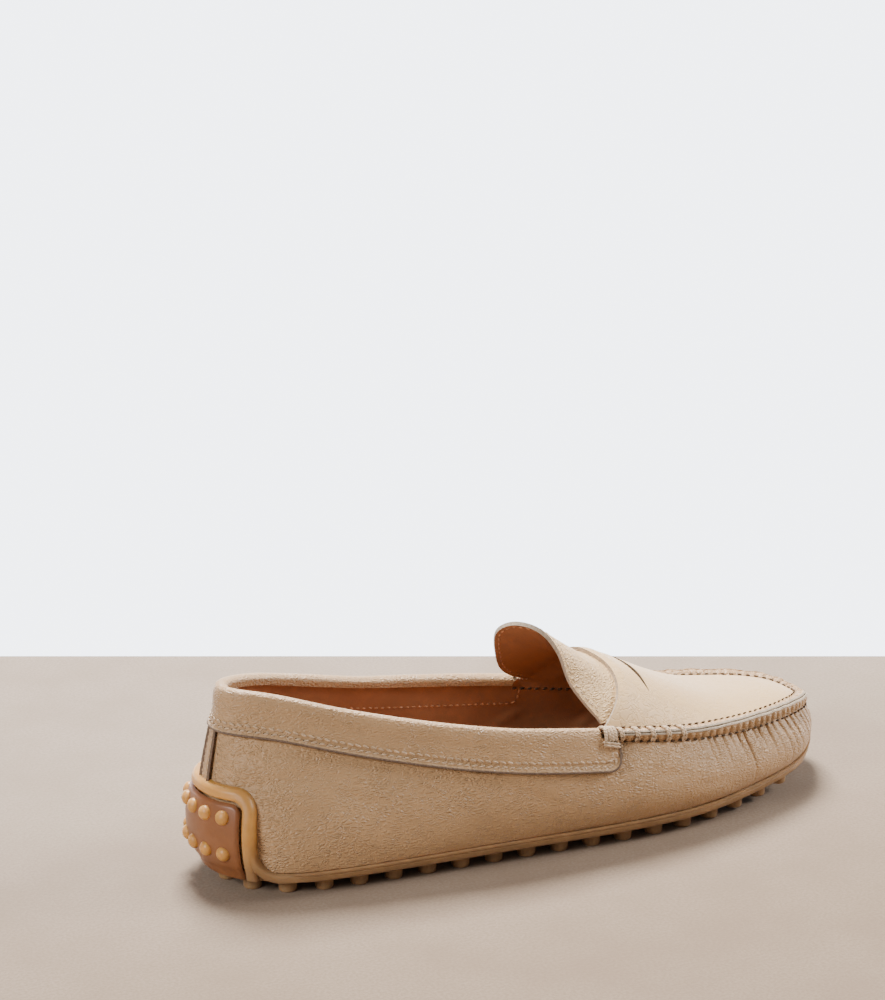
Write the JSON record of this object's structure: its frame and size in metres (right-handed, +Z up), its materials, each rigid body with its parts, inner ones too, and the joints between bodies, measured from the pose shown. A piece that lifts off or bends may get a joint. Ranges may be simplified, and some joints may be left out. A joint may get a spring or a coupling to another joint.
{
  "type": "driving moccasin",
  "caption": "Right leather driving moccasin with a turned collar, raised apron seam, stand-up tongue and a studded rubber sole that runs up the heel.",
  "frame": {"origin": "on the floor, at the foot of the stud under the centre of the heel", "axes": "+X towards the toe, +Y towards the inner (medial) side, +Z up"},
  "size_m": [0.2513, 0.0825, 0.0755],
  "materials": {
    "gum_rubber": "satin, slightly see-through gum",
    "brown_rubber": "satin",
    "beige_leather": "soft full-grain leather",
    "tan_lining": "matt lining leather"
  },
  "bodies": {
    "root": {"outsole": "gum_rubber", "insole": "tan_lining", "upper": "beige_leather", "tongue": "beige_leather", "collar": "beige_leather", "apron_seam": "beige_leather", "backstay": "beige_leather", "heel_pad": "brown_rubber"}
  },
  "joints": []
}
